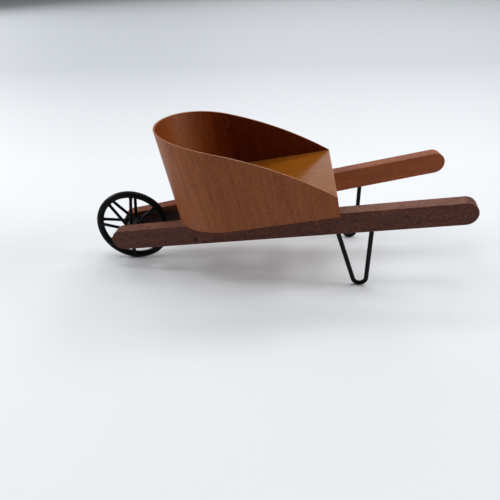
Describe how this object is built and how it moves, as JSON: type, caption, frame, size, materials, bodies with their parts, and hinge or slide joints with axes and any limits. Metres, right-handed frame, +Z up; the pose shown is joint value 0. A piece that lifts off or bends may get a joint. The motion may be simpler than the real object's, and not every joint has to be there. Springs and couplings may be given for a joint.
{
  "type": "wheelbarrow",
  "caption": "Tabletop wheelbarrow with splayed wooden rails, a bent-wood tray on a thick floor, wire legs and a turning wire-spoked wheel.",
  "frame": {"origin": "on the ground, under the middle of the object's whole length and width", "axes": "+X forwards to the wheel, +Y to the object's left, +Z up"},
  "size_m": [0.2676, 0.0968, 0.1078],
  "materials": {
    "rail_wood": "dark oiled hardwood with open pores",
    "floor_wood": "mid-brown stained wood, satin",
    "sheet_wood": "stained veneer sheet, satin",
    "black_wire": "satin black",
    "black_wheel": "satin black",
    "axle_steel": "dull",
    "screw_steel": "bright zinc"
  },
  "bodies": {
    "frame": {"left_rail": "rail_wood", "right_rail": "rail_wood", "tray_floor": "floor_wood", "tray_sheet": "sheet_wood", "left_leg": "black_wire", "right_leg": "black_wire", "axle": "axle_steel", "left_washer": "axle_steel", "right_washer": "axle_steel", "tray_screw_1": "screw_steel", "tray_screw_2": "screw_steel", "tray_screw_3": "screw_steel", "tray_screw_4": "screw_steel"},
    "wheel": {"wheel_rim": "black_wheel", "wheel_hub": "black_wheel", "left_spoke_1": "black_wheel", "left_spoke_2": "black_wheel", "left_spoke_3": "black_wheel", "left_spoke_4": "black_wheel", "left_spoke_5": "black_wheel", "left_spoke_6": "black_wheel", "left_spoke_7": "black_wheel", "left_spoke_8": "black_wheel", "right_spoke_1": "black_wheel", "right_spoke_2": "black_wheel", "right_spoke_3": "black_wheel", "right_spoke_4": "black_wheel", "right_spoke_5": "black_wheel", "right_spoke_6": "black_wheel", "right_spoke_7": "black_wheel", "right_spoke_8": "black_wheel"}
  },
  "joints": [
    {"name": "wheel_spin", "type": "hinge", "parent": "frame", "child": "wheel", "pos_m": [0.10522, 0, 0.02857], "axis": [0, 1, 0], "continuous": true}
  ]
}
